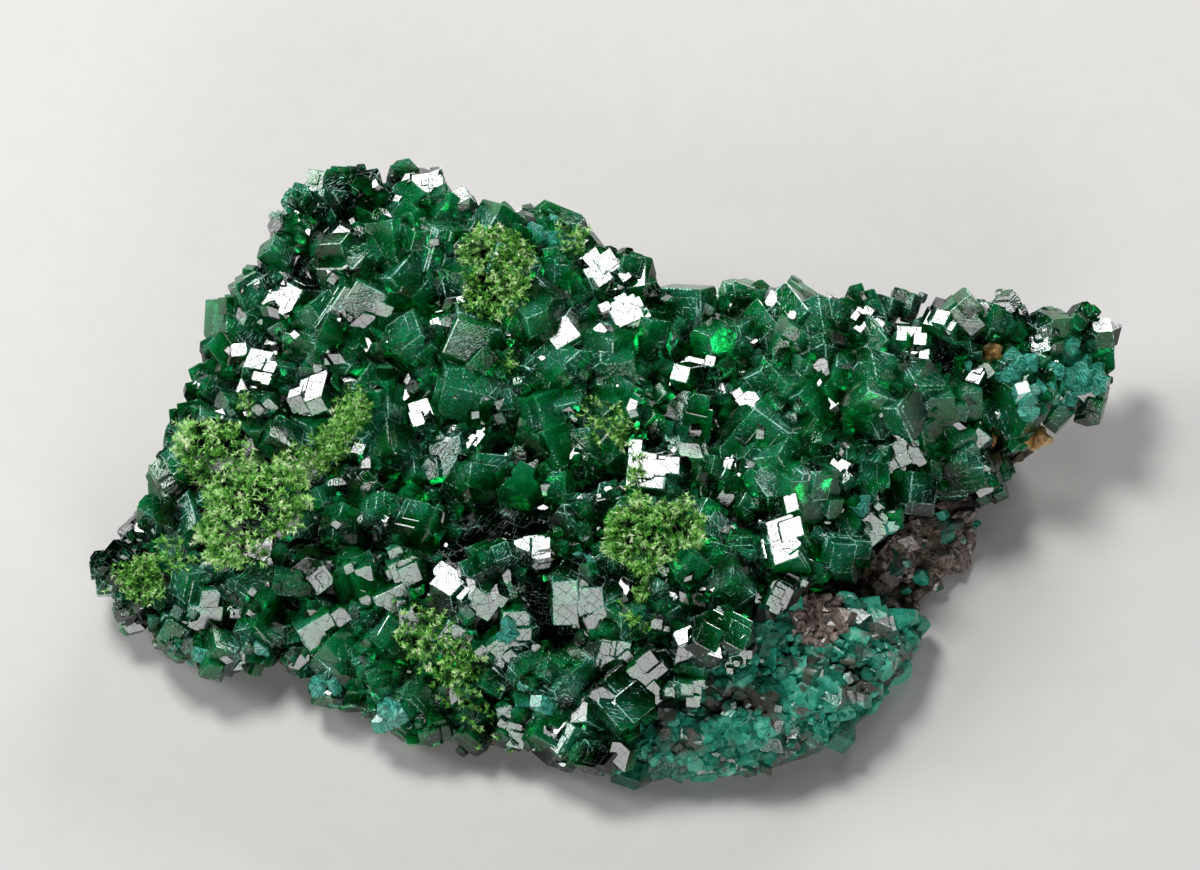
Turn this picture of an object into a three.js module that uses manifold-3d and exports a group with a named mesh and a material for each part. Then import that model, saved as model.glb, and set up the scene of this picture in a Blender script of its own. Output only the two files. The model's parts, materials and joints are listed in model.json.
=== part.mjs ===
// A hand specimen of dioptase: a crust of intergrown green crystals on a plate of brown rock, with tufts of
// mossy green needles, a broken seam of massive dioptase along the front right edge and a few ochre grains.
// Millimetres, +Z up. The plate lies on its flat back, and the origin is on that back.
//
// Places on the top are given as they are seen from in front and above: "across" is to the right, and "up" is
// up the picture, both in millimetres in the plane of that view, from the picture of the origin.
import * as THREE from "three";
import { mergeVertices } from "three/addons/utils/BufferGeometryUtils.js";
import Module from "manifold-3d";

const wasm = await Module();
wasm.setup();

// Driving dimensions.
const VIEW_ELEVATION = THREE.MathUtils.degToRad(55);
const GAP = 0.3;
const CRUST = 1.5;
const PLATEAU = 11;
const RIM_SHARE = 0.42;
const BASE_SHARE = 0.86;
const TABLE_CLEARANCE = 0.5;
const SEGMENTS = 36;
const RIM_STEPS = 720;
const TIDY = 0.1;

// The crystals: width across the prism, length from tip to tip in widths, and how they stand.
const PITCH = 6.0;
const JITTER = 0.25;
const SMALLEST_WIDTH = 4.6;
const LARGEST_WIDTH = 7.0;
const SHORTEST = 1.35;
const LONGEST = 1.85;
const STUBBY = 1.25;
const LEAN = 0.7;
const FACE_HEIGHT = 0.55;
const LEAST_LIFT = 0;
const MOST_LIFT = 0.3;
const ROWS = 7;
const COLUMNS = 10;
const CROWDING = 0.44;
const RHOMB_SLOPE = THREE.MathUtils.degToRad(51);
const CUBE_SLOPE = Math.atan(Math.SQRT2);
const FLATTENING = Math.tan(RHOMB_SLOPE) / Math.tan(CUBE_SLOPE);

// Directions: up, and the two that the large bright faces look in.
const UPWARD = new THREE.Vector3(0, 0, 1);
const SKYWARD = new THREE.Vector3(-0.2, -0.13, 0.97).normalize();
const FORWARD = new THREE.Vector3(0.08, -0.78, 0.62).normalize();

// The plate's rim in plan, from the right tip round the back: x, y and the height of the crust there.
const CENTRE = new THREE.Vector2(-2, -3);
const RIM = [
  [49, 10.8, 9],
  [43.5, 13.5, 13],
  [30, 13.8, 14],
  [20, 14.2, 14],
  [10, 14.6, 14],
  [4.5, 17, 15],
  [-1, 22.4, 15],
  [-9, 24.4, 15],
  [-18, 27.6, 17],
  [-28.5, 27.4, 16],
  [-33.5, 22, 15],
  [-36.3, 15.4, 13],
  [-40, 7, 11],
  [-42.6, -3.3, 9],
  [-44, -9.2, 7],
  [-47.3, -13.9, 5],
  [-45, -16.7, 4],
  [-37.5, -20.6, 3.5],
  [-30, -22, 3.5],
  [-25.5, -25.2, 3.5],
  [-18.5, -30, 3.5],
  [-8.5, -31.4, 3.5],
  [3.5, -33.4, 4],
  [12, -34, 5],
  [20, -32, 5.5],
  [26, -27.4, 5.5],
  [29.5, -21.6, 5],
  [32, -16, 4],
  [36, -10.7, 4],
  [38, -6, 5],
  [42, 0.1, 6],
  [48, 6.7, 7],
].map((point) => new THREE.Vector3(...point));

// Mounds and hollows of the top: x, y, rise and radius.
const MOUNDS = [
  [-23, 18, 6, 11],
  [1, 11, 4.5, 10],
  [30, 7, 4, 11],
  [46, 8, 2, 8],
  [-4, -16, 2.5, 10],
  [12, -16, 1.5, 8],
  [-25, -1.5, -3, 6],
  [-14, -2.5, -3, 6],
  [1, 2, -2.5, 6],
];

// Rings of the plate from the middle of its back to the middle of its top: share of the way out, share of
// the way up.
const PLATE_RINGS = [
  [0, 0],
  [BASE_SHARE, 0],
  [0.96, 0.25],
  [0.98, 0.7],
  [0.94, 1],
  [0.78, 1],
  [0.56, 1],
  [0.3, 1],
  [0, 1],
];

// Rings of the crust, from the middle of its underside to the middle of its top: 0 is well inside the plate.
const CRUST_RINGS = [
  [0, 0],
  [0.9, 0],
  [0.97, 0.6],
  [0.96, 1],
  [0.78, 1],
  [0.56, 1],
  [0.3, 1],
  [0, 1],
];

// The inner edge of the broken seam in plan. Its outer edge is the plate's own.
const SEAM_EDGE = [
  [-1, -45],
  [1, -29],
  [9, -25.5],
  [15.5, -22.5],
  [18.5, -18.5],
  [25, -16.5],
  [45, -17.5],
  [45, -45],
];

// A bare patch at the front right rim, where the rock shows, in plan.
const BARE_PATCH = [
  [24, -18],
  [27, -14],
  [32, -11.5],
  [35.5, -5.5],
  [45, -6],
  [45, -18],
];

// Large crystals with a face turned to the sky: across, up, width, and degrees of turn about that face.
const SKY_CRYSTALS = [
  [-30.2, 29.4, 5.4, 10],
  [-23.5, 31.0, 5.8, 75],
  [-17.8, 31.6, 5.4, 140],
  [-8.0, 28.0, 5.0, 20],
  [-31.8, 20.0, 6.6, 20],
  [-26.0, 26.2, 5.0, 100],
  [-13.3, 27.4, 4.6, 200],
  [-15.7, 17.6, 5.6, 60],
  [-33.9, 14.2, 5.2, 300],
  [-0.8, 23.8, 6.4, 350],
  [3.2, 22.2, 5.2, 140],
  [-3.5, 16.7, 6.4, 80],
  [2.3, 19.0, 6.0, 250],
  [8.7, 12.7, 5.4, 30],
  [14.8, 9.8, 5.2, 170],
  [30.6, 16.0, 5.6, 220],
  [26.0, 18.3, 4.8, 10],
  [34.1, 18.1, 5.0, 110],
  [36.5, 12.7, 5.4, 330],
  [42.0, 18.0, 5.6, 200],
  [46.8, 16.4, 5.6, 310],
  [49.4, 15.8, 4.6, 45],
  [4.2, 3.3, 7.4, 40],
  [18.0, -4.1, 7.6, 150],
  [-14.5, -8.4, 6.4, 280],
  [-17.9, 9.1, 6.4, 65],
  [-12.5, 6.4, 5.2, 190],
  [-6.1, -4.3, 4.6, 320],
];

// Large crystals with a face turned to the front, in the same form.
const FRONT_CRYSTALS = [
  [-46.2, -9.4, 5.2, 80],
  [-44.4, -4.0, 5.0, 200],
  [-42.6, -13.0, 5.8, 320],
  [-28.2, -13.2, 7.2, 15],
  [-3.1, -9.2, 7.4, 75],
  [-11.0, -10.1, 5.6, 130],
  [-0.3, -12.1, 5.2, 190],
  [1.0, -14.7, 6.2, 240],
  [4.7, -16.1, 6.4, 20],
  [1.7, -19.8, 7.4, 100],
  [-10.0, -14.5, 5.0, 290],
  [-8.3, -12.3, 5.0, 340],
  [-8.3, -22.9, 4.6, 60],
  [-2.0, -25.4, 5.0, 150],
  [11.8, -12.9, 8.2, 215],
  [8.6, -18.4, 5.6, 250],
  [14.6, -16.4, 5.4, 70],
  [20.6, -10.2, 6.2, 140],
  [27.8, -3.9, 6.6, 120],
  [32.6, -1.6, 5.6, 30],
  [-35.7, -15.3, 5.4, 260],
  [-27.5, -8.0, 6.0, 200],
  [-33.4, 9.0, 5.0, 30],
  [-28.6, 9.6, 5.6, 95],
  [-14.5, -13.0, 6.4, 310],
  [-18.5, -6.6, 5.2, 5],
  [-22.3, 0.6, 4.6, 170],
  [17.7, -9.0, 4.8, 45],
  [29.9, 4.8, 5.6, 280],
  [37.8, 3.1, 6.2, 75],
  [47.2, 11.8, 5.2, 130],
  [25.5, 3.5, 7.2, 155],
  [9.8, 7.3, 7.0, 230],
  [-10.2, -5.1, 6.6, 350],
];

// Tufts of mossy needles, each a few rounded lumps: across, up and radius.
const MOSS_TUFTS = {
  moss_left_mound: [
    [-36.6, 5.6, 5.6],
    [-33.6, -2.0, 6.2],
    [-31.0, 3.0, 4.2],
    [-25.6, 7.0, 3.4],
  ],
  moss_top: [
    [-10.4, 24.0, 3.6],
    [-10.8, 20.8, 3.0],
  ],
  moss_centre: [
    [4.2, -3.4, 3.8],
    [7.6, -2.4, 2.6],
  ],
  moss_low: [
    [-17.0, -13.4, 3.0],
    [-14.0, -16.2, 2.6],
  ],
  moss_saddle: [[1.0, 6.9, 2.2]],
  moss_corner: [[-45.4, -8.0, 2.3]],
  moss_rim: [[-2.7, 26.6, 1.7]],
};
const MOSS_FLATNESS = 0.62;
const MOSS_HEIGHT = 2.8;

// Ochre grains wedged between the crystals: across, up, width and turn in degrees.
const OCHRE_GRAINS = {
  ochre_grain_front: [38.6, 5.9, 2.3, 30],
  ochre_grain_ridge: [39.4, 14.8, 2.1, 75],
  ochre_grain_edge: [43.8, 6.2, 2.8, 10],
};
const OCHRE_HEIGHT = 1.2;

// A repeatable random number from 0 to 1 for each whole number.
function chance(n) {
  const s = Math.sin(n * 12.9898 + 4.1414) * 43758.5453;
  return s - Math.floor(s);
}

const chanceBetween = (low, high, n) => low + (high - low) * chance(n);

// The rim's radius and height at each half degree round the plate's centre.
const angleFrom = (a, b) => Math.abs(Math.atan2(Math.sin(a - b), Math.cos(a - b)));
const rimPoints = new THREE.CatmullRomCurve3(RIM, true).getPoints(600).map((point) => ({
  angle: Math.atan2(point.y - CENTRE.y, point.x - CENTRE.x),
  radius: Math.hypot(point.x - CENTRE.x, point.y - CENTRE.y),
  height: point.z,
}));
const rimTable = Array.from({ length: RIM_STEPS }, (_, i) => {
  const angle = (i / RIM_STEPS) * 2 * Math.PI;
  return rimPoints.reduce((best, point) =>
    angleFrom(point.angle, angle) < angleFrom(best.angle, angle) ? point : best,
  );
});

function rimAt(x, y) {
  const turns = Math.atan2(y - CENTRE.y, x - CENTRE.x) / (2 * Math.PI);
  return rimTable[Math.round((turns + 1) * RIM_STEPS) % RIM_STEPS];
}

// How far out a place is, as a share of the way from the plate's centre to its rim.
function shareOut(x, y) {
  return Math.hypot(x - CENTRE.x, y - CENTRE.y) / rimAt(x, y).radius;
}

// Height of the top of the crust.
function crustHeight(x, y) {
  const rim = rimAt(x, y).height;
  const relief = MOUNDS.reduce(
    (sum, [mx, my, rise, radius]) => sum + rise * Math.exp(-((x - mx) ** 2 + (y - my) ** 2) / radius ** 2),
    PLATEAU,
  );
  const inner = THREE.MathUtils.smoothstep(1 - shareOut(x, y), 0, RIM_SHARE);
  return THREE.MathUtils.lerp(rim, Math.max(relief, rim * 0.9), inner);
}

// The direction that the crust faces, leaning outwards at the rim.
function crustNormal(x, y) {
  const step = 2;
  const slopeX = (crustHeight(x + step, y) - crustHeight(x - step, y)) / (2 * step);
  const slopeY = (crustHeight(x, y + step) - crustHeight(x, y - step)) / (2 * step);
  const outward = THREE.MathUtils.smoothstep(shareOut(x, y), 0.8, 1.05);
  const out = new THREE.Vector3(x - CENTRE.x, y - CENTRE.y, 0).normalize().multiplyScalar(outward);
  return new THREE.Vector3(-slopeX, -slopeY, 1).normalize().add(out).normalize();
}

// The place that is seen at a place in the view, at a given height over the crust.
function overCrust(across, up, height) {
  const seen = new THREE.Vector3(across, up, PLATEAU);
  for (let pass = 0; pass < 30; pass += 1) {
    const y = (up - seen.z * Math.cos(VIEW_ELEVATION)) / Math.sin(VIEW_ELEVATION);
    seen.y = THREE.MathUtils.lerp(seen.y, y, 0.5);
    seen.z = crustHeight(seen.x, seen.y) + height;
  }
  return seen;
}

// A three.js geometry as a solid, and a solid as a geometry.
function toSolid(geometry) {
  const bare = geometry.clone();
  bare.deleteAttribute("normal");
  bare.deleteAttribute("uv");
  const merged = mergeVertices(bare, 1e-4);
  return new wasm.Manifold(
    new wasm.Mesh({
      numProp: 3,
      vertProperties: merged.attributes.position.array,
      triVerts: new Uint32Array(merged.index.array),
    }),
  );
}

function toGeometry(solid) {
  const { vertProperties, triVerts } = solid.getMesh();
  const geometry = new THREE.BufferGeometry();
  geometry.setAttribute("position", new THREE.BufferAttribute(vertProperties, 3));
  geometry.setIndex(new THREE.BufferAttribute(triVerts, 1));
  const flat = geometry.toNonIndexed();
  flat.computeVertexNormals();
  return flat;
}

const largestBody = (solid) =>
  solid.decompose().reduce((best, body) => (body.volume() > best.volume() ? body : best));

// A turned shape drawn out to the plate's outline. Each ring point has its share of the way out and a level,
// and heightAt gives the height for a place and a level.
function stretchedLathe(rings, heightAt, grown) {
  const profile = rings.map(([share, level]) => new THREE.Vector2(share, level));
  const geometry = new THREE.LatheGeometry(profile, SEGMENTS);
  const position = geometry.attributes.position;
  for (let i = 0; i < position.count; i += 1) {
    const [right, level, near] = [position.getX(i), position.getY(i), position.getZ(i)];
    const radius = rimAt(CENTRE.x + right, CENTRE.y - near).radius + grown;
    const x = CENTRE.x + radius * right;
    const y = CENTRE.y - radius * near;
    position.setXYZ(i, x, y, heightAt(x, y, level));
  }
  return toSolid(geometry);
}

function plateSolid(grown) {
  const top = (x, y) => crustHeight(x, y) - CRUST - GAP + grown;
  return stretchedLathe(PLATE_RINGS, (x, y, level) => level * top(x, y), grown);
}

function crustSolid() {
  return stretchedLathe(CRUST_RINGS, (x, y, level) => crustHeight(x, y) - 2 * CRUST * (1 - level), 0);
}

// A tall column over an outline in plan, drawn outwards to the back left by a margin.
function columnOver(outline, grown) {
  const shape = new THREE.Shape(outline.map(([x, y]) => new THREE.Vector2(x - grown, y + grown)));
  return toSolid(new THREE.ExtrudeGeometry(shape, { depth: 60, bevelEnabled: false }).translate(0, 0, -20));
}

function belowTable() {
  return toSolid(new THREE.BoxGeometry(200, 200, 20).translate(0, 0, TABLE_CLEARANCE - 10));
}

// A rhombohedron with a corner up and an upper face towards +X: a cube on its corner, flattened a little
// along its diagonal.
function rhombohedron(tipToTip) {
  const side = tipToTip / (Math.sqrt(3) * FLATTENING);
  const cube = new THREE.BoxGeometry(side, side, side);
  return cube.rotateZ(Math.PI / 4).rotateY(CUBE_SLOPE).scale(1, 1, FLATTENING);
}

// A prismatic crystal about its own middle: a six-sided prism cut at both ends by a rhombohedron.
function prismaticCrystal(width, length) {
  const radius = width / Math.sqrt(3);
  const prism = new THREE.CylinderGeometry(radius, radius, length, 6).rotateX(Math.PI / 2);
  return toSolid(prism.rotateZ(Math.PI / 2)).intersect(toSolid(rhombohedron(length)));
}

const place = (solid, position, quaternion) =>
  solid.transform(new THREE.Matrix4().compose(position, quaternion, new THREE.Vector3(1, 1, 1)).elements);

// A large crystal whose upper face is seen at a place in the view and looks in a given direction.
function facingCrystal([across, up, width, turn], facing, n) {
  const face = new THREE.Vector3(Math.sin(RHOMB_SLOPE), 0, Math.cos(RHOMB_SLOPE));
  const turned = new THREE.Quaternion().setFromAxisAngle(facing, THREE.MathUtils.degToRad(turn));
  turned.multiply(new THREE.Quaternion().setFromUnitVectors(face, facing));
  const length = width * chanceBetween(SHORTEST, LONGEST, n);
  const middle = overCrust(across, up, width * FACE_HEIGHT);
  middle.addScaledVector(facing, (-length / 2) * Math.cos(RHOMB_SLOPE));
  return place(prismaticCrystal(width, length), middle, turned);
}

// A small crystal that stands on the crust as it happens to.
function standingCrystal(across, up, n) {
  const length = STUBBY * chanceBetween(SMALLEST_WIDTH, LARGEST_WIDTH, n);
  const middle = overCrust(across, up, length * chanceBetween(LEAST_LIFT, MOST_LIFT, n + 1));
  const lean = new THREE.Vector3(chance(n + 2) - 0.5, chance(n + 3) - 0.5, 0);
  const axis = crustNormal(middle.x, middle.y).addScaledVector(lean, 2 * LEAN).normalize();
  const turned = new THREE.Quaternion().setFromUnitVectors(UPWARD, axis);
  turned.multiply(new THREE.Quaternion().setFromAxisAngle(UPWARD, chance(n + 4) * 2 * Math.PI));
  return place(toSolid(rhombohedron(length)), middle, turned);
}

// Places in the view for the small crystals: a loose six-sided pattern, wherever the large ones leave room.
function smallCrystalPlaces() {
  const large = [...SKY_CRYSTALS, ...FRONT_CRYSTALS];
  const places = [];
  for (let row = -ROWS; row <= ROWS; row += 1) {
    for (let column = -COLUMNS; column <= COLUMNS; column += 1) {
      const n = 10 * ((row + ROWS) * (2 * COLUMNS + 1) + column + COLUMNS);
      const across = PITCH * (column + (row % 2) / 2 + chanceBetween(-JITTER, JITTER, n + 5));
      const up = PITCH * ((row * Math.sqrt(3)) / 2 + chanceBetween(-JITTER, JITTER, n + 6));
      const root = overCrust(across, up, 0);
      const crowded = large.some(
        ([a, u, width]) => Math.hypot(a - across, u - up) < CROWDING * (width + SMALLEST_WIDTH),
      );
      const rooted = shareOut(root.x, root.y) < 1 && !insideOutline(SEAM_EDGE, root.x, root.y);
      if (rooted && !crowded) places.push([across, up, n]);
    }
  }
  return places;
}

// Whether a place is inside a closed outline, by counting the edges to its right.
function insideOutline(outline, x, y) {
  return outline.reduce((inside, [ax, ay], i) => {
    const [bx, by] = outline[(i + 1) % outline.length];
    const crosses = ay > y !== by > y && x < ax + ((bx - ax) * (y - ay)) / (by - ay);
    return crosses ? !inside : inside;
  }, false);
}

// A tuft of moss: rounded lumps that lie among the crystals, pressed flat along the crust's normal.
function mossSolid(lumps, grown) {
  return wasm.Manifold.union(
    lumps.map(([across, up, radius]) => {
      const middle = overCrust(across, up, MOSS_HEIGHT);
      const turned = new THREE.Quaternion().setFromUnitVectors(UPWARD, crustNormal(middle.x, middle.y));
      const ball = new THREE.IcosahedronGeometry(radius, 1).scale(1, 1, MOSS_FLATNESS);
      const growth = 1 + grown / (radius * MOSS_FLATNESS);
      return place(toSolid(ball.scale(growth, growth, growth)), middle, turned);
    }),
  );
}

function ochreSolid([across, up, width, turn], grown) {
  const middle = overCrust(across, up, OCHRE_HEIGHT);
  const turned = new THREE.Quaternion().setFromAxisAngle(FORWARD, THREE.MathUtils.degToRad(turn));
  return place(toSolid(rhombohedron(width + 4 * grown)), middle, turned);
}

// The solids, each cut back from the ones that it grew round.
const plate = plateSolid(0).subtract(columnOver(SEAM_EDGE, GAP));
const seam = plateSolid(CRUST).intersect(columnOver(SEAM_EDGE, 0)).subtract(belowTable());
const keptClear = [
  plateSolid(GAP),
  plateSolid(CRUST + GAP).intersect(columnOver(SEAM_EDGE, GAP)),
  columnOver(BARE_PATCH, 0),
  belowTable(),
  ...Object.values(MOSS_TUFTS).map((lumps) => mossSolid(lumps, GAP)),
  ...Object.values(OCHRE_GRAINS).map((grain) => ochreSolid(grain, GAP)),
];
const crystals = [
  ...SKY_CRYSTALS.map((spec, i) => facingCrystal(spec, SKYWARD, i)),
  ...FRONT_CRYSTALS.map((spec, i) => facingCrystal(spec, FORWARD, SKY_CRYSTALS.length + i)),
  ...smallCrystalPlaces().map((spec) => standingCrystal(...spec)),
];
const druse = wasm.Manifold.union([crustSolid(), ...crystals]).subtract(wasm.Manifold.union(keptClear));

// Finishes: colour, roughness and metalness.
const finish = (color, roughness) => new THREE.MeshStandardMaterial({ color, roughness, metalness: 0 });
const ROCK = finish(0x4a4038, 0.85);
const DIOPTASE = finish(0x0b5a36, 0.12);
const MASSIVE_DIOPTASE = finish(0x3f9479, 0.5);
const MOSS = finish(0x63a83a, 0.8);
const OCHRE = finish(0xb98234, 0.6);

const specimen = new THREE.Group();

function addPiece(name, solid, material) {
  const mesh = new THREE.Mesh(toGeometry(largestBody(solid.simplify(TIDY))), material);
  mesh.name = name;
  specimen.add(mesh);
}

addPiece("matrix", plate, ROCK);
addPiece("cleaved_seam", seam, MASSIVE_DIOPTASE);
addPiece("crystal_druse", druse, DIOPTASE);
for (const [name, lumps] of Object.entries(MOSS_TUFTS)) {
  addPiece(name, mossSolid(lumps, 0).subtract(plateSolid(GAP)), MOSS);
}
for (const [name, grain] of Object.entries(OCHRE_GRAINS)) {
  addPiece(name, ochreSolid(grain, 0).subtract(plateSolid(GAP)), OCHRE);
}

export default specimen;
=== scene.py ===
"""A hand specimen of dioptase: green crystals on rock, mossy needles, a broken seam and ochre grains."""
import json
import math
import random

import bmesh
import bpy
import numpy as np
from mathutils import Matrix, Quaternion, Vector, noise
from mathutils.bvhtree import BVHTree

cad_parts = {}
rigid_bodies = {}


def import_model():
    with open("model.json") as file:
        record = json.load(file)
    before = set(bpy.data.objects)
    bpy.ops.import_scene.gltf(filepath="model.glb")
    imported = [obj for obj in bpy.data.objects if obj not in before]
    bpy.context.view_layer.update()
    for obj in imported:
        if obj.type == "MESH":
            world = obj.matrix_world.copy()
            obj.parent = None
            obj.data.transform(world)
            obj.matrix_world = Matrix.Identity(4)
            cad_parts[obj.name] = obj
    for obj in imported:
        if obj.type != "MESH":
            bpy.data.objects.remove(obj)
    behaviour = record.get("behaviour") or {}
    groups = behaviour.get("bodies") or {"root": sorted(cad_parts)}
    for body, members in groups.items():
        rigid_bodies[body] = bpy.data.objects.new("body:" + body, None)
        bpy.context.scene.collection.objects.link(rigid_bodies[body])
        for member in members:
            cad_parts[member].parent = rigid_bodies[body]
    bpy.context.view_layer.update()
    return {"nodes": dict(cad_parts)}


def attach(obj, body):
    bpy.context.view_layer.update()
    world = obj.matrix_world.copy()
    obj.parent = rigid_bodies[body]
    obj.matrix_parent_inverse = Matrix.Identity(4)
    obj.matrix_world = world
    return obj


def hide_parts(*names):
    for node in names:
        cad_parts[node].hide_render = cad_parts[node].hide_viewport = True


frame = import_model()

# Sizes and places are in millimetres here, and a finished piece is brought to metres as its last step.
MM = 0.001

# The picture's view: places in it are "across" and "up" from the picture of the origin, and lines of sight
# start in front of the specimen.
VIEW_ELEVATION = math.radians(55)
TO_CAMERA = Vector((0, -math.cos(VIEW_ELEVATION), math.sin(VIEW_ELEVATION)))
PICTURE_UP = Vector((0, math.sin(VIEW_ELEVATION), math.cos(VIEW_ELEVATION)))
UPWARD = Vector((0, 0, 1))
IN_FRONT = 200
NEARER = 100

# The crystals' shapes: slope of the end faces, lengths from tip to tip in widths, how far single faces are
# ahead or behind, how many shapes there are, and the worn edges that wide crystals have, except below.
RHOMB_SLOPE = math.radians(51)
LENGTHS = (1.4, 2.0)
UNEVEN = (0.84, 1.18)
SHAPE_COUNT = 16
UNCUT_BLOCK = 6
CHAMFER = 0.018
CHAMFERED_FROM = 2.2
CHAMFERED_ABOVE = -0.4

# The crust that crystals root in: height over the rock, breadth against the rock's, how far it is sunk,
# tone, its number among the crystals, and the gaps to the rock and the table.
CRUST = 1.8
CRUST_SHARE = (0.97, 0.96)
CRUST_SUNK = 0.3
CRUST_TONE = 0.3
CRUST_INDEX = 0
ROCK_GAP = 0.25
TABLE_GAP = 0.5
SLAB = (300, 100)

# How far the rim's crystals are behind what is seen there, where a crystal's root is along it in widths,
# which the crust takes so that it is painted as dark as the roots, as painted shade, and how each crystal's
# map is shifted against the last one's, so that no two show the same lines.
RIM_DEPTH = 1.8
CRUST_SHADE_ALONG = -0.5
MAP_SHIFTS = ((7.31, 41), (3.17, 37))

# The specimen's outline as it is seen in the picture.
OUTLINE = [
    (-50.3, -8.0), (-48.8, -4.5), (-46.5, -2.0), (-44.5, -0.5), (-44.0, 3.5), (-42.5, 7.5), (-41.0, 10.0),
    (-39.5, 14.0), (-38.0, 18.0), (-36.0, 22.0), (-33.8, 25.2), (-32.8, 29.2), (-30.0, 32.2), (-27.0, 32.8),
    (-22.8, 32.8), (-18.8, 33.8), (-16.2, 32.8), (-13.8, 29.5), (-11.5, 28.8), (-10.0, 29.5), (-6.0, 29.3),
    (-2.2, 28.5), (0.0, 26.0), (2.5, 24.5), (5.0, 23.5), (8.0, 21.3), (10.5, 20.2), (13.5, 21.6),
    (17.5, 20.7), (20.0, 21.2), (22.5, 19.2), (25.5, 20.8), (29.0, 20.2), (32.2, 21.2), (36.0, 20.2),
    (39.0, 19.5), (42.0, 20.9), (45.5, 18.8), (49.0, 19.8), (51.3, 18.0), (51.9, 15.8), (50.8, 10.2),
    (47.5, 8.2), (45.6, 5.0), (42.0, 2.2), (38.5, -1.0), (36.8, -6.0), (31.5, -10.5), (31.0, -14.0),
    (28.5, -18.5), (27.0, -21.0), (23.0, -24.0), (18.0, -26.2), (9.0, -27.4), (3.0, -26.8), (-3.0, -25.5),
    (-5.5, -24.5), (-12.0, -24.8), (-16.0, -23.8), (-21.5, -22.2), (-23.5, -20.5), (-27.0, -20.0),
    (-29.0, -17.2), (-33.0, -16.5), (-38.0, -16.8), (-41.0, -15.5), (-45.0, -14.5), (-47.5, -12.2),
    (-49.5, -10.0),
]

# Directions that large faces look in at the middle of the specimen, and how far away the lights that they
# mirror and the camera are.
SKYWARD = Vector((-0.2, -0.13, 0.97)).normalized()
FORWARD = Vector((0.08, -0.78, 0.62)).normalized()
OPEN = Vector((0.12, -0.5, 0.86)).normalized()
LIGHT_DISTANCE = 650
CAMERA_DISTANCE = 667

# Large crystals with a face turned to the sky: across, up, width, and degrees of turn about that face.
SKY_CRYSTALS = [
    (-30.2, 29.4, 5.4, 10), (-17.8, 31.6, 5.4, 140), (-8.0, 28.0, 5.0, 20), (-31.8, 20.0, 6.6, 20),
    (-26.0, 26.2, 5.0, 100), (-13.3, 27.4, 4.6, 200), (-15.7, 17.6, 5.6, 60), (-33.9, 14.2, 5.2, 300),
    (-0.8, 23.8, 6.4, 350), (3.2, 22.2, 5.2, 140), (-3.5, 16.7, 6.4, 80), (2.3, 19.0, 6.0, 250),
    (8.7, 12.7, 5.4, 30), (14.8, 9.8, 5.2, 170), (30.6, 16.0, 5.6, 220), (26.0, 18.3, 4.8, 10),
    (34.1, 18.1, 5.0, 110), (36.5, 12.7, 4.2, 290), (4.2, 3.3, 8.2, 40), (18.0, -4.1, 8.6, 150),
    (-14.5, -8.4, 6.4, 280), (-17.9, 9.1, 6.4, 65), (-12.5, 6.4, 5.2, 190), (-6.1, -4.3, 4.6, 320),
]

# Large crystals with a face turned to the front, in the same form.
FRONT_CRYSTALS = [
    (-46.2, -9.4, 5.2, 80), (-44.4, -4.0, 5.0, 200), (-42.6, -13.0, 5.8, 320), (-28.2, -13.2, 7.2, 15),
    (-3.1, -9.2, 7.4, 75), (-11.0, -10.1, 5.6, 130), (-0.3, -12.1, 5.2, 190), (1.0, -14.7, 6.2, 240),
    (4.7, -16.1, 6.4, 20), (-10.0, -14.5, 5.0, 290), (-8.3, -12.3, 5.0, 340), (-8.3, -22.9, 4.6, 60),
    (-2.0, -25.4, 5.0, 150), (8.6, -18.4, 4.4, 250), (13.2, -15.0, 3.6, 70), (26.6, -3.0, 5.6, 120),
    (-35.7, -15.3, 5.4, 260), (-27.5, -8.0, 4.6, 200), (-33.4, 9.0, 5.0, 30), (-28.6, 9.6, 5.6, 95),
    (-14.5, -13.0, 6.4, 310), (-18.5, -6.6, 5.2, 5), (-22.3, 0.6, 4.6, 170), (17.7, -9.0, 4.0, 45),
    (29.9, 4.8, 5.6, 280),
]

# Large crystals with a face open to the viewer, that show their green inside.
OPEN_CRYSTALS = [
    (-23.5, 31.0, 5.8, 75), (42.0, 18.0, 5.6, 200), (46.8, 16.4, 5.6, 310), (49.4, 15.8, 4.6, 45),
    (1.7, -19.8, 7.4, 100), (11.8, -12.9, 8.2, 215), (37.8, 3.1, 6.2, 75), (47.2, 11.8, 5.2, 130),
    (25.5, 3.5, 7.2, 155), (9.8, 7.3, 7.0, 230), (-10.2, -5.1, 6.6, 350),
]

# The flat part of a large crystal against its listed width, the seen face's height over the crust in widths,
# how far it is turned from true, and how one that doesn't fit is made smaller.
FLAT_SHARE = 0.72
FACE_HEIGHT = 0.7
FACE_TILT = math.radians(1.6)
FACE_SHRINK = 0.9

# The crystals between them: spacing and its unevenness, widths, the widest, height of the middle over the
# crust in widths, lean, and how far out places are tried.
PITCH = 3.5
JITTER = 0.32
WIDTHS = (3.4, 6.0)
WIDEST = 7.0
LIFT = (-0.3, 0.15)
LEAN = 0.5
PICTURE_REACH = (54, 35)

# How near they come to a large face, how far they reach in the picture, how one that doesn't fit is made
# smaller, the width that is too small, and half the distance from which one is tied to its neighbour.
# Distances are in widths, or in both widths where there are two.
CROWDING = 0.31
OUTLINE_REACH = 0.47
SHRINK = 0.85
SMALLEST = 1.5
ALONE = 0.28

# Crystals are larger towards the back and the right end.
SIZE_AT_FRONT = 0.88
SIZE_AT_BACK = 1.45
FRONT_UP = -8
FRONT_TO_BACK = 24
RIGHT_SHARE = 0.3

# A close row of crystals along the outline: spacing of the places tried, widths, how near they may be, and
# how one that doesn't fit is made smaller.
RIM_PITCH = 1.6
RIM_WIDTHS = (2.2, 4.6)
RIM_SPACING = 0.38
RIM_SHRINK = 0.92

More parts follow.
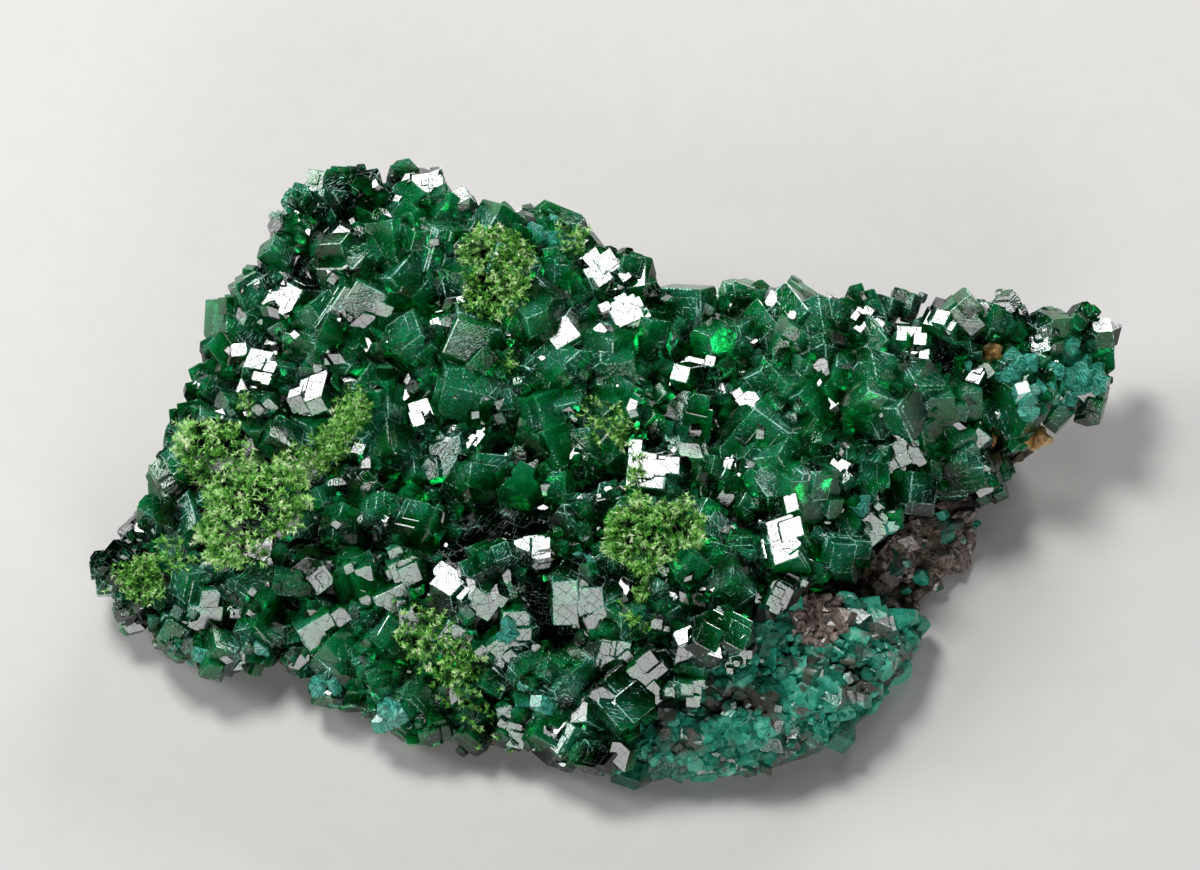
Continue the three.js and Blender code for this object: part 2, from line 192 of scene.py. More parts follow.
# Small late crystals in the crevices: places tried, widths, rise in widths, the steepest ground, how near
# the walls are and how many.
LATE_TRIES = 1800
LATE_WIDTHS = (0.8, 2.0)
LATE_RISE = (-0.2, 0.25)
LATE_STEEPEST = -0.2
CREVICE = 2.0
CREVICE_WALLS = 2

# Small crystals with a face turned like the large bright ones: places tried, facings, slope, widths, rise.
GLINT_TRIES = 1900
GLINT_FACINGS = (SKYWARD, FORWARD, FORWARD)
GLINT_SLOPE = 0.72
GLINT_WIDTHS = (0.5, 2.6)
GLINT_RISE = (0.05, 0.3)

# Growth steps: how many smaller parallel crystals stand proud of a crystal's faces, their size, their rise,
# the crystal's width from which it is full, their tilt, and how far along the face they go.
LARGE_STEPS = 8
STEPS = 6
STEP_SIZE = (0.3, 0.78)
STEP_RISE = (0.03, 0.24)
STEP_FULL_WIDTH = 5
STEP_TILT = math.radians(2.5)
STEP_ROOM = 0.85

# Moss: sprigs for each square millimetre of a tuft, fewer on those that let crystals through, needles on a
# sprig, their lengths and widths, the stem's width, the gaps between clumps on a large tuft and its area,
# the steepest ground, depth on a crystal, and the sprigs' spread and lengths.
SPRIGS_PER_MM2 = 5.6
SPARSE_TUFTS = ("moss_low", "moss_saddle", "moss_rim")
SPARSE_SHARE = 0.38
SPRIG_NEEDLES = 13
NEEDLE_LENGTHS = (0.28, 0.75)
NEEDLE_WIDTHS = (0.08, 0.17)
STEM_WIDTH = 0.07
THIN_SPOTS = -0.4
LARGE_TUFT = 300
MOSS_STEEPEST = -0.5
MOSS_SUNK = 0.1
TUFT_SPRIGS = (1.1, (0.5, 1.2))
TRAIL_SPRIGS = (0.7, (0.6, 1.5))

# The left mound of moss, and its outline in the picture.
LEFT_MOUND = "moss_left_mound"
MOUND = [
    (-43.3, 5.2), (-41.5, 7.3), (-38.8, 8.2), (-36.2, 7.8), (-34.6, 6.2), (-33.8, 4.2), (-31.0, 4.4),
    (-29.0, 3.0), (-28.8, 0.4), (-29.1, -1.7), (-29.9, -3.0), (-32.0, -3.8), (-32.8, -5.9), (-35.2, -6.4),
    (-39.4, -6.9), (-41.5, -5.9), (-42.3, -4.3), (-44.0, -5.2), (-43.3, -2.7), (-41.7, -1.2), (-41.5, 0.4),
    (-43.1, 1.0), (-43.6, 2.0), (-42.8, 3.1),
]

# Thinner moss that trails over the crystals from the tufts: start and end in the picture, width and sprigs.
MOSS_TRAILS = {
    LEFT_MOUND: [
        ((-31.5, 3.4), (-28.5, 3.6), 1.3, 200),
        ((-28.5, 3.6), (-26.0, 6.6), 1.5, 330),
        ((-26.0, 6.6), (-23.7, 9.8), 1.3, 300),
        ((-43.5, -4.5), (-41.5, -6.0), 1.6, 45),
        ((-35.8, 10.2), (-35.2, 9.0), 0.7, 14),
    ],
    "moss_top": [((-8.3, 14.5), (-9.4, 13.0), 0.5, 8)],
    "moss_centre": [
        ((3.6, 3.6), (3.5, 0.0), 0.7, 50),
        ((4.2, -6.5), (4.2, -9.8), 0.5, 40),
        ((2.6, -10.6), (4.6, -12.2), 0.9, 22),
    ],
    "moss_low": [((-19.0, -11.5), (-12.5, -18.0), 2.4, 80), ((-15.0, -16.0), (-10.0, -23.8), 1.4, 45)],
    "moss_saddle": [((-1.2, 9.2), (3.0, 6.0), 1.4, 40)],
    "moss_corner": [((-48.4, -7.0), (-45.2, -9.5), 0.9, 30)],
    "moss_rim": [((-3.6, 27.2), (-1.8, 25.4), 0.8, 20)],
}

# Places in the picture that no crystal covers, so that the ochre grains show: across, up and reach.
OCHRE_SPOTS = [(38.6, 5.9, 1.0), (39.4, 14.8, 0.7), (43.8, 6.2, 1.2)]

# Where small crystals stained turquoise grow: across, up and reach in the picture.
TURQUOISE_SPOTS = [
    (46.6, 11.6, 2.2), (43.2, 10.0, 1.5), (49.4, 12.4, 1.3), (41.6, 13.0, 1.6), (47.6, 15.0, 1.0),
    (36.5, 13.4, 0.9), (29.5, -2.2, 0.8), (25.8, -0.4, 0.9), (-5.6, 27.2, 1.6), (-40.5, -14.6, 1.6),
    (-44.5, -12.6, 1.0), (-34.0, -15.4, 1.0), (-26.8, -18.8, 1.3), (-21.0, -20.6, 1.2), (-6.5, -19.0, 1.6),
    (-9.0, -12.6, 1.0), (-1.8, -6.6, 0.9),
]
TURQUOISE_TONE = 2.0
TURQUOISE_SHARE = 0.65
TURQUOISE_PER_MM2 = 2.2

# The rock: grain, share of faces kept, hollows as cells for each millimetre, reach in cells and depth, the
# height of the flat foot, and how level ground is, and how far round, where crystals cover it.
ROCK_GRAIN = 0.6
ROCK_FACES = 0.2
HOLLOWS = [(0.17, 0.75, 3.2), (0.42, 0.7, 1.6)]
FLAT_BELOW = 0.2
LEVEL = 0.6
COVER_REACH = 4

# The bare patch at the front right rim where the rock shows in the picture.
BARE_PATCH = [
    (25, -8.5), (27.5, -5.5), (31, -1.5), (35, 0.2), (39.5, 0.5), (37.5, -6), (31.5, -11), (27, -10.5),
]

# The broken seam beside it in the picture.
SEAM = [
    (5.5, -20.5), (10, -18), (14, -15.5), (18.5, -9.5), (25, -9), (27, -10.5), (30.5, -10.2), (33, -8),
    (35.6, -5.2), (37, -1), (38.8, -1), (37.2, -6), (34, -8.8), (31.5, -11), (31, -14),
    (28.5, -18.5), (27, -21), (23, -24), (18, -26.2), (9, -27.4), (4, -26.5),
]

# Its chips, large and small: places tried, sizes, depth in sizes, the steepest ground, and the lump's tone.
CHIPS = 520
CHIP = (1.4, 3.8)
SMALL_CHIPS = 1100
SMALL_CHIP = (0.5, 1.4)
CHIP_SUNK = 0.38
CHIP_STEEPEST = -0.3
SEAM_TONE = 0.2

# A lump of brown vein in it: across, up and reach. The bare patch has fewer chips, and most are brown.
BROWN_VEIN = (21.4, -11.4, 2.8)
BROWN_TONE = -1.0
BARE_CHIPS = 0.5
BARE_BROWN = 0.65

# The ochre grains: their worn edges, rounds of smoothing, and swelling.
GRAIN_EDGE = 0.12
GRAIN_ROUNDS = 6
GRAIN_SWELL = 0.12


# Shader maths and nodes

class Value:
    """A shader value. Arithmetic on it adds Math nodes."""

    def __init__(self, finish, socket):
        self.finish = finish
        self.socket = socket

    def math(self, operation, other):
        return self.finish.node("Math", {"operation": operation}, {0: self, 1: other})

    def __add__(self, other):
        return self.math("ADD", other)

    def __sub__(self, other):
        return self.math("SUBTRACT", other)

    def __mul__(self, other):
        return self.math("MULTIPLY", other)

    def other(self, name):
        """Another output of the same node."""
        return Value(self.finish, self.socket.node.outputs[name])


class Finish:
    """A material under construction."""

    def __init__(self, name):
        self.material = bpy.data.materials.new(name)
        self.material.use_nodes = True
        self.tree = self.material.node_tree
        self.tree.nodes.clear()
        self.place = self.node("TexCoord", out="Object")

    def node(self, kind, settings=None, sockets=None, out=0):
        """Adds a node, sets it and its sockets' values or links, and gives one output."""
        made = self.tree.nodes.new("ShaderNode" + kind)
        for key, value in (settings or {}).items():
            if key == "stops":
                self.set_stops(made.color_ramp, value)
            else:
                setattr(made, key, value)
        for key, value in (sockets or {}).items():
            if isinstance(value, Value):
                self.tree.links.new(value.socket, made.inputs[key])
            else:
                made.inputs[key].default_value = value
        return Value(self, made.outputs[out]) if made.outputs else None

    @staticmethod
    def set_stops(ramp, stops):
        while len(ramp.elements) > 1:
            ramp.elements.remove(ramp.elements[-1])
        for index, (position, colour) in enumerate(stops):
            stop = ramp.elements[0] if index == 0 else ramp.elements.new(position)
            stop.position = position
            stop.color = (*colour, 1)

    def attribute(self, name):
        return self.node("Attribute", {"attribute_name": name}, out="Fac")

    def noise(self, scale, detail=4, roughness=0.55, where=None):
        place = where or self.place
        sockets = {"Vector": place, "Scale": scale, "Detail": detail, "Roughness": roughness}
        return self.node("TexNoise", None, sockets)

    def ramp(self, value, stops):
        return self.node("ValToRGB", {"stops": stops}, {"Fac": value}, "Color")

    def between(self, value, low, high, start, end):
        sockets = {"Value": value, "From Min": low, "From Max": high, "To Min": start, "To Max": end}
        return self.node("MapRange", {"interpolation_type": "SMOOTHSTEP"}, sockets)

    def mix(self, factor, first, second):
        return self.node("Mix", {"data_type": "RGBA"}, {0: factor, 6: first, 7: second}, 2)

    def bump(self, height):
        """Height in millimetres."""
        return self.node("Bump", None, {"Height": height, "Strength": 1.0, "Distance": MM})

    def surface(self, sockets):
        shader = self.node("BsdfPrincipled", None, sockets)
        self.node("OutputMaterial", None, {"Surface": shader})
        return self.material


def colour(red, green, blue):
    return (red, green, blue, 1)


def dioptase_finish():
    finish = Finish("dioptase crystal")
    face = finish.node("UVMap", {"uv_map": "face_map"})
    tone = finish.attribute("tone")
    edge = finish.attribute("edge")
    along = finish.attribute("along")
    patches = finish.noise(300, 2)
    lines = finish.node("Mapping", None, {"Vector": face, "Scale": (1.3, 7.0, 1.0)})
    streaks = finish.noise(1.0, 2, 0.65, lines)
    layout = {"offset": 0.37, "squash": 0.7, "squash_frequency": 3}
    wavy = finish.node("VectorMath", {"operation": "ADD"}, {0: face, 1: patches.other("Color")})
    blocks = {"Vector": wavy, "Scale": 1.0, "Mortar Size": 0.028, "Brick Width": 1.3, "Row Height": 0.9}
    blocks |= {"Color1": colour(0, 0, 0), "Color2": colour(1, 1, 1), "Mortar": colour(0.5, 0.5, 0.5)}
    crack = finish.node("TexBrick", layout, blocks, "Fac")
    block = crack.other("Color")
    across = finish.node("SeparateXYZ", None, {0: face}, "X")
    up = across.other("Y")
    # Painted shade and painted glow: the body is darker at each crystal's root and lighter towards its tip,
    # from the along attribute, mixed with random patches, streaks and tone.
    painted_glow_and_mottle = finish.between(along + patches * 0.9 + streaks * 0.5 + tone * 0.3, 0.62, 1.9, 0.0, 1.0)
    dark, deep = (0.0003, 0.008, 0.0015), (0.001, 0.11, 0.016)
    bright, pale = (0.005, 0.42, 0.08), (0.03, 0.85, 0.30)
    inner = finish.ramp(painted_glow_and_mottle, [(0.0, dark), (0.35, deep), (0.7, bright), (1.0, pale)])
    dark, middle, pale = (0.001, 0.012, 0.008), (0.008, 0.17, 0.10), (0.10, 0.75, 0.55)
    outer = finish.ramp(painted_glow_and_mottle, [(0.0, dark), (0.45, middle), (1.0, pale)])
    body = finish.mix(finish.between(patches * 0.6 + streaks * 0.4, 0.42, 0.62, 0.0, 0.75), inner, outer)
    turquoise = finish.between(tone, 1.2, 1.4, 0.0, 0.9)
    body = finish.mix(turquoise, body, colour(0.04, 0.58, 0.44))
    rough = finish.between(patches, 0.45, 0.75, 0.03, 0.14)
    tilt = (block - 0.5) * (across * 0.04 + up * 0.03)
    normal = finish.bump(tilt + streaks * 0.015)
    clear = {"IOR": 1.67, "Transmission Weight": 0.8}
    cloudy = {"Subsurface Weight": 0.6, "Subsurface Radius": (0.2, 1.0, 0.5), "Subsurface Scale": 0.0007}
    varied = {"Base Color": body, "Roughness": rough, "Normal": normal}
    crystal = finish.node("BsdfPrincipled", None, {**clear, **cloudy, **varied})
    # Painted highlights: pale lines on some of the chamfered edges, picked by streaks and patches, and small
    # pale flecks that stand in for glints.
    broken = finish.between(streaks * 0.6 + patches * 0.6, 0.60, 0.72, 0.0, 0.9)
    painted_glints = finish.between(streaks + patches * 0.5, 0.9, 0.98, 0.0, 0.65)
    # The pale colour is a painted highlight on green crystals and the stained crystals' own turquoise;
    # cracks are dark lines in it.
    painted_highlight_and_stain = finish.mix(turquoise, colour(0.48, 0.88, 0.78), colour(0.10, 0.74, 0.58))
    pale = finish.mix(crack, painted_highlight_and_stain, colour(0.001, 0.012, 0.006))
    painted_highlight_and_frost = finish.node("BsdfPrincipled", None, {"Base Color": pale, "Roughness": 0.4, "IOR": 1.67})
    cracked = crack * finish.between(patches, 0.42, 0.52, 0.0, 1.0)
    cracked = cracked + turquoise * finish.between(streaks, 0.4, 0.65, 0.05, 0.7)
    clamped = {"operation": "ADD", "use_clamp": True}
    painted_highlight_and_frost_share = finish.node("Math", clamped, {0: edge * broken + painted_glints, 1: cracked})
    surface = finish.node("MixShader", None, {0: painted_highlight_and_frost_share, 1: crystal, 2: painted_highlight_and_frost})
    absorb = finish.node("VolumeAbsorption", None, {"Color": colour(0.05, 0.9, 0.5), "Density": 140.0})
    finish.node("OutputMaterial", None, {"Surface": surface, "Volume": absorb})
    return finish.material


def seam_finish():
    finish = Finish("broken massive dioptase")
    tone = finish.attribute("tone")
    stain = finish.noise(260, 3)
    cloud = finish.noise(620, 3)
    fine = finish.noise(1500, 3, 0.7)
    body = finish.ramp(
        tone * 0.45 + cloud * 0.75 + fine * 0.35 - 0.23,
        [(0.15, (0.002, 0.018, 0.011)), (0.36, (0.006, 0.085, 0.052)), (0.58, (0.014, 0.23, 0.15))]
        + [(0.80, (0.05, 0.42, 0.29)), (1.0, (0.32, 0.70, 0.52))],
    )
    brown = finish.between(stain, 0.53, 0.6, 0.0, 0.85)
    body = finish.mix(brown, body, colour(0.085, 0.065, 0.055))
    vein = finish.between(tone, -0.6, -0.4, 1.0, 0.0)
    browns = finish.ramp(fine, [(0.35, (0.02, 0.014, 0.012)), (0.65, (0.30, 0.23, 0.20))])
    body = finish.mix(vein, body, browns)
    rough = finish.between(fine, 0.3, 0.7, 0.12, 0.4)
    normal = finish.bump(fine * 0.08)
    return finish.surface({"Base Color": body, "Roughness": rough, "IOR": 1.65, "Normal": normal})


def rock_finish():
    finish = Finish("brown rock")
    bed = finish.attribute("bed")
    coarse = finish.noise(130, 4)
    fine = finish.noise(1400, 3, 0.7)
    stain = finish.noise(60, 2)
    body = finish.ramp(
        coarse * 0.4 + fine * 0.6,
        [(0.34, (0.012, 0.010, 0.009)), (0.46, (0.060, 0.046, 0.037))]
        + [(0.57, (0.15, 0.115, 0.085)), (0.68, (0.36, 0.30, 0.23))],
    )
    rusty = finish.between(stain + fine * 0.2, 0.64, 0.76, 0.0, 0.7)
    body = finish.mix(rusty, body, colour(0.24, 0.13, 0.04))
    green = finish.between(bed + fine * 0.6, 0.9, 1.2, 0.0, 0.85)
    body = finish.mix(green, body, colour(0.06, 0.40, 0.26))
    normal = finish.bump(coarse * 0.4 + fine * 0.6)
    return finish.surface({"Base Color": body, "Roughness": 0.85, "Normal": normal})


def moss_finish():
    finish = Finish("mossy needles")
    tone = finish.attribute("tone")
    patch = finish.noise(420, 2)
    # The dark low stops are painted shade for needles sunk in creases, and the near-white top stop is a
    # painted highlight on the lightest tips.
    body = finish.ramp(
        tone * 0.75 + patch * 0.3,
        [(0.15, (0.004, 0.03, 0.005)), (0.40, (0.05, 0.29, 0.025)), (0.65, (0.19, 0.64, 0.06))]
        + [(0.83, (0.50, 0.90, 0.24)), (0.95, (1.0, 1.0, 0.80))],
    )
    rough = finish.between(patch, 0.3, 0.7, 0.28, 0.5)
    return finish.surface({"Base Color": body, "Roughness": rough})


def ochre_finish():
    finish = Finish("ochre grain")
    stain = finish.noise(700, 4)
    body = finish.ramp(
        stain, [(0.35, (0.16, 0.07, 0.02)), (0.5, (0.44, 0.23, 0.06)), (0.62, (0.70, 0.52, 0.27))]
    )
    normal = finish.bump(stain * 0.1)
    rough = finish.between(stain, 0.3, 0.7, 0.35, 0.7)
    return finish.surface({"Base Color": body, "Roughness": rough, "Normal": normal})


def floor_finish():
    finish = Finish("pale floor")
    grain = finish.noise(300, 3)
    body = finish.mix(grain, colour(0.62, 0.61, 0.59), colour(0.66, 0.65, 0.63))
    return finish.surface({"Base Color": body, "Roughness": 0.7})


# Places on the rock

def cad_tree(*names):
    """The named nodes' surface as a search tree, in millimetres."""
    verts, faces = [], []
    for name in names:
        mesh = frame["nodes"][name].data
        start = len(verts)
        verts += [v.co / MM for v in mesh.vertices]
        faces += [[start + i for i in p.vertices] for p in mesh.polygons]
    return BVHTree.FromPolygons(verts, faces)


ROCK = cad_tree("matrix", "cleaved_seam")
DRUSE = cad_tree("crystal_druse")


def seen_in(facing):
    """Where a light has to be for a face that looks that way to mirror it to the camera."""
    return 2 * facing.dot(TO_CAMERA) * facing - TO_CAMERA


def turned_for(place, facing):
    """The same facing for a face at a place away from the middle, so that it mirrors the same light."""
    to_light = (seen_in(facing) * LIGHT_DISTANCE - place).normalized()
    to_camera = (TO_CAMERA * CAMERA_DISTANCE - place).normalized()
    return (to_light + to_camera).normalized()


def in_picture(across, up):
    return Vector((across, 0, 0)) + PICTURE_UP * up + TO_CAMERA * IN_FRONT


def inside(outline, x, y):
    """Whether a place is inside a closed outline, by counting the edges to its right."""
    odd = False
    for (ax, ay), (bx, by) in zip(outline, outline[1:] + outline[:1]):
        if (ay > y) != (by > y) and x < ax + (bx - ax) * (y - ay) / (by - ay):
            odd = not odd
    return odd


def fits(across, up, width):
    """Whether a crystal seen at a place in the picture stays inside the specimen's outline."""
    reach = width * OUTLINE_REACH
    turns = np.arange(8) * math.pi / 4
    ring = [(across + reach * math.cos(turn), up + reach * math.sin(turn)) for turn in turns]
    return all(inside(OUTLINE, *place) for place in ring)


def covers_ochre(across, up, width):
    reach = width * OUTLINE_REACH
    return any(math.hypot(across - a, up - u) < reach + clear for a, u, clear in OCHRE_SPOTS)


def at_rim(across, up):
    """A place behind the crystals at the rim, or None where the bare rock is nearer."""
    for share in np.arange(1, 0.8, -0.005):
        look = in_picture(across * share, up * share)
        hit, _, _, depth = DRUSE.ray_cast(look, -TO_CAMERA)
        rock_hit, _, _, rock_depth = ROCK.ray_cast(look, -TO_CAMERA)
        if hit and (rock_hit is None or depth < rock_depth):
            return in_picture(across, up) - TO_CAMERA * (depth + RIM_DEPTH)
        if rock_hit:
            return None
    return None


def over_crust(across, up, height):
    """What is seen at a place in the picture, at a height over the crust, and the crust's direction there.

    Past the rim it is a place inside the outermost crystals.
    """
    lift = UPWARD * (height + CRUST)
    hit, normal, _, _ = ROCK.ray_cast(in_picture(across, up) - lift, -TO_CAMERA)
    if hit:
        return hit + lift, normal
    place = at_rim(across, up)
    _, outward, _, _ = ROCK.find_nearest(place)
    return place, outward


# Crystals

def rhomb_normal(end, turn):
    azimuth = math.radians(120 * turn + (0 if end > 0 else 60))
    flat = math.sin(RHOMB_SLOPE)
    return Vector((flat * math.cos(azimuth), flat * math.sin(azimuth), end * math.cos(RHOMB_SLOPE)))


SIDE_TURNS = [math.radians(degrees) for degrees in range(30, 360, 60)]
FACES = [rhomb_normal(end, turn) for end in (1, -1) for turn in range(3)]
FACES += [Vector((math.cos(turn), math.sin(turn), 0)) for turn in SIDE_TURNS]
UPPER = range(3)
SIDES = range(6, 12)


def as_mesh(bm, name):
    """A mesh of what was built."""
    mesh = bpy.data.meshes.new(name)
    bm.to_mesh(mesh)
    bm.free()
    return mesh


class Shape:
    """A crystal one unit wide: a six-sided prism cut by a rhombohedron, with uneven faces."""

    def __init__(self, dice):
        length = dice.uniform(*LENGTHS)
        self.distances = [length / 2 * math.cos(RHOMB_SLOPE) * dice.uniform(*UNEVEN) for _ in range(6)]
        self.distances += [0.5 * dice.uniform(*UNEVEN) for _ in range(6)]
        self.sharp = self.mesh(0)
        self.chamfered = self.mesh(CHAMFER)
        first = max(self.sharp.polygons, key=lambda face: face.normal.dot(FACES[0]))
        self.first_face = first.center.copy()

    def mesh(self, chamfer):
        bm = bmesh.new()
        bmesh.ops.create_cube(bm, size=UNCUT_BLOCK)
        for normal, distance in zip(FACES, self.distances):
            parts = bm.verts[:] + bm.edges[:] + bm.faces[:]
            point = normal * distance
            cut = bmesh.ops.bisect_plane(bm, geom=parts, plane_co=point, plane_no=normal, clear_outer=True)
            rim = [part for part in cut["geom_cut"] if isinstance(part, bmesh.types.BMEdge)]
            if rim:
                bmesh.ops.contextual_create(bm, geom=rim)
        edge = bm.faces.layers.float.new("edge")
        if chamfer:
            seen = [e for e in bm.edges if min(v.co.z for v in e.verts) > CHAMFERED_ABOVE]
            made = bmesh.ops.bevel(
                bm, geom=seen, offset=chamfer, affect="EDGES", segments=1, profile=0.5, material=-1
            )
            # The chamfer's faces are marked, and the finish paints highlights on some of them.
            for face in made["faces"]:
                face[edge] = 1.0
        return as_mesh(bm, "crystal")


def any_direction(dice):
    return Vector((dice.gauss(0, 1), dice.gauss(0, 1), dice.gauss(0, 1))).normalized()


class Crystal:
    """One crystal: its middle, turn, width, shape and how bright it is."""

    def __init__(self, middle, turned, width, shape, tone):
        self.middle = middle
        self.turned = turned
        self.width = width
        self.shape = shape
        self.tone = tone

    def solid(self, index):
        mesh = (self.shape.chamfered if self.width > CHAMFERED_FROM else self.shape.sharp).copy()
        mesh.transform(Matrix.LocRotScale(self.middle, self.turned, Vector((1, 1, 1)) * self.width))
        mark_all(mesh, "crystal", "INT", index)
        mark_all(mesh, "tone", "FLOAT", self.tone)
        return mesh

    def step(self, dice, faces):
        """A smaller parallel crystal that stands a little proud of one of this crystal's faces."""
        face = dice.choice(faces)
        normal = FACES[face]
        shape = dice.choice(SHAPES)
        size = dice.uniform(*STEP_SIZE)
        rise = dice.uniform(*STEP_RISE) * min(1, self.width / STEP_FULL_WIDTH)
        along = normal.orthogonal().normalized()
        beside = normal.cross(along)
        room = self.width * (1 - size) * STEP_ROOM
        shift = along * dice.uniform(-room, room) + beside * dice.uniform(-room, room)
        depth = self.width * (self.shape.distances[face] - size * shape.distances[face]) + rise
        wobble = Quaternion(any_direction(dice), dice.uniform(-STEP_TILT, STEP_TILT))
        middle = self.middle + self.turned @ (normal * depth + shift)
        tone = min(1, max(0, self.tone + dice.uniform(-0.2, 0.2)))
        return Crystal(middle, wobble @ self.turned, self.width * size, shape, tone)


def facing_crystal(spec, facing, dice):
    across, up, width, turn = spec
    width *= FLAT_SHARE
    while covers_ochre(across, up, width) or not fits(across, up, width):
        width *= FACE_SHRINK
    shape = dice.choice(SHAPES)
    seen, _ = over_crust(across, up, width * FACE_HEIGHT)
    facing = turned_for(seen, facing)
    turned = Quaternion(facing, math.radians(turn)) @ FACES[0].rotation_difference(facing)
    turned = Quaternion(any_direction(dice), dice.uniform(0, FACE_TILT)) @ turned
    middle = seen - turned @ shape.first_face * width
    return Crystal(middle, turned, width, shape, dice.uniform(0.25, 0.85))


def standing_crystal(middle, normal, width, dice):
    lean = Vector((dice.uniform(-1, 1), dice.uniform(-1, 1), dice.uniform(-0.3, 0.3)))
    axis = (normal + lean * LEAN).normalized()
    turned = UPWARD.rotation_difference(axis) @ Quaternion(UPWARD, dice.uniform(0, 2 * math.pi))
    return Crystal(middle, turned, width, dice.choice(SHAPES), dice.uniform(0, 1))


def loose_pattern(pitch, dice):
    """Places in the picture in a loose six-sided pattern, wherever crystals are seen."""
    reach_across, reach_up = PICTURE_REACH
    row_step = pitch * math.sqrt(3) / 2
    for row in range(-int(reach_up / row_step), int(reach_up / row_step) + 1):
        for column in range(-int(reach_across / pitch), int(reach_across / pitch) + 1):
            across = pitch * (column + row % 2 / 2 + dice.uniform(-JITTER, JITTER))
            up = row_step * row + pitch * dice.uniform(-JITTER, JITTER)
            bare = inside(BARE_PATCH, across, up) or inside(SEAM, across, up)
            if inside(OUTLINE, across, up) and not bare and at_rim(across, up):
                yield across, up, random.Random(f"{pitch} {row} {column}")


SHAPES = [Shape(random.Random(number)) for number in range(SHAPE_COUNT)]


def crowded(across, up, width, large):
    """Whether a crystal at a place in the picture would cover an ochre grain or a large crystal's face."""
    near = any(math.hypot(across - a, up - u) < CROWDING * (width + w) for (a, u, w, _), _ in large)
    return near or covers_ochre(across, up, width)


def first_crystals(dice):
    large = [(spec, SKYWARD) for spec in SKY_CRYSTALS]
    large += [(spec, FORWARD) for spec in FRONT_CRYSTALS]
    large += [(spec, OPEN) for spec in OPEN_CRYSTALS]
    facing = [facing_crystal(spec, direction, dice) for spec, direction in large]
    standing = []
    for across, up, own_dice in loose_pattern(PITCH, dice):
        towards_back = min(1, max(0, (up + RIGHT_SHARE * across - FRONT_UP) / FRONT_TO_BACK))
        width = own_dice.uniform(*WIDTHS) * (SIZE_AT_FRONT + (SIZE_AT_BACK - SIZE_AT_FRONT) * towards_back)
        width = min(width, WIDEST)
        lift = own_dice.uniform(*LIFT)
        while width > SMALLEST and (crowded(across, up, width, large) or not fits(across, up, width)):
            width *= SHRINK
        if width > SMALLEST:
            standing.append(standing_crystal(*over_crust(across, up, width * lift), width, own_dice))
    return facing, standing


def rim_crystals(dice):
    """A close row of crystals just inside the outline."""
    row, crystals = [], []
    for across, up, own_dice in loose_pattern(RIM_PITCH, dice):
        smallest, width = RIM_WIDTHS
        if not fits(across, up, width):
            while width > smallest and (covers_ochre(across, up, width) or not fits(across, up, width)):
                width *= RIM_SHRINK
            alone = all(math.hypot(across - a, up - u) > RIM_SPACING * (width + w) for a, u, w in row)
            if width > smallest and alone:
                row.append((across, up, width))
                crystals.append(standing_crystal(*over_crust(across, up, 0), width, own_dice))
    return crystals


def growth_steps(facing, standing, dice):
    steps = []
    for crystal in facing:
        faces = [UPPER[0]] * 2 + [*UPPER] + [*SIDES]
        steps += [crystal.step(dice, faces) for _ in range(LARGE_STEPS)]
    for crystal in standing:
        steps += [crystal.step(dice, [*UPPER] * 3 + [*SIDES]) for _ in range(STEPS)]
    return steps


def mesh_tree(mesh):
    return BVHTree.FromPolygons([v.co for v in mesh.vertices], [p.vertices for p in mesh.polygons])


def spots(mesh, count, dice):
    """Places spread evenly over a mesh's faces, with the face's direction."""
    mesh.calc_loop_triangles()
    triangles = mesh.loop_triangles
    for triangle in dice.choices(triangles, [t.area for t in triangles], k=count):
        a, b, c = (mesh.vertices[i].co for i in triangle.vertices)
        low, high = sorted((dice.random(), dice.random()))
        yield a * low + b * (high - low) + c * (1 - high), triangle.normal.copy()


def late_crystals(druse, dice):
    """Small crystals in the crevices between the first ones."""
    tree = mesh_tree(druse)
    late = []
    for spot, normal in spots(druse, LATE_TRIES, dice):
        along = normal.orthogonal().normalized()
        beside = normal.cross(along)
        shut_in = 0
        for turn in range(6):
            angle = turn * math.pi / 3
            look = normal * 0.7 + along * math.cos(angle) + beside * math.sin(angle)
            hit, _, _, _ = tree.ray_cast(spot + normal * 0.05, look, CREVICE)
            shut_in += hit is not None
        if normal.z > LATE_STEEPEST and shut_in >= CREVICE_WALLS:
            width = dice.uniform(*LATE_WIDTHS)
            middle = spot + normal * width * dice.uniform(*LATE_RISE)
            late.append(standing_crystal(middle, normal, width, dice))
    return late


def glints(druse, dice):
    """Small crystals that each have a face turned the same way as the large bright ones."""
    small = []
    for spot, normal in spots(druse, GLINT_TRIES, dice):
        facing = turned_for(spot, dice.choice(GLINT_FACINGS))
        if normal.dot(facing) > GLINT_SLOPE:
            smallest, largest = GLINT_WIDTHS
            width = smallest + (largest - smallest) * dice.random() ** 2
            shape = dice.choice(SHAPES)
            face = dice.choice((UPPER[0], SIDES[0]))
            upright = FACES[face].rotation_difference(facing)
            turned = Quaternion(facing, dice.uniform(0, 2 * math.pi)) @ upright
            middle = spot + facing * (dice.uniform(*GLINT_RISE) - width * shape.distances[face])
            small.append(Crystal(middle, turned, width, shape, dice.random()))
    return small


def turquoise_crystals(druse, dice):
    """Small stained crystals, close together."""
    tree = mesh_tree(druse)
    small = []
    for across, up, reach in TURQUOISE_SPOTS:
        for _ in range(int(math.pi * reach**2 * TURQUOISE_PER_MM2)):
            away, turn = reach * math.sqrt(dice.random()), dice.uniform(0, 2 * math.pi)
            look = in_picture(across + away * math.cos(turn), up + away * math.sin(turn))
            hit, normal, _, _ = tree.ray_cast(look, -TO_CAMERA)
            if hit:
                crystal = standing_crystal(hit, normal, dice.uniform(*LATE_WIDTHS), dice)
                if dice.random() < TURQUOISE_SHARE:
                    crystal.tone = TURQUOISE_TONE
                small.append(crystal)
    return small


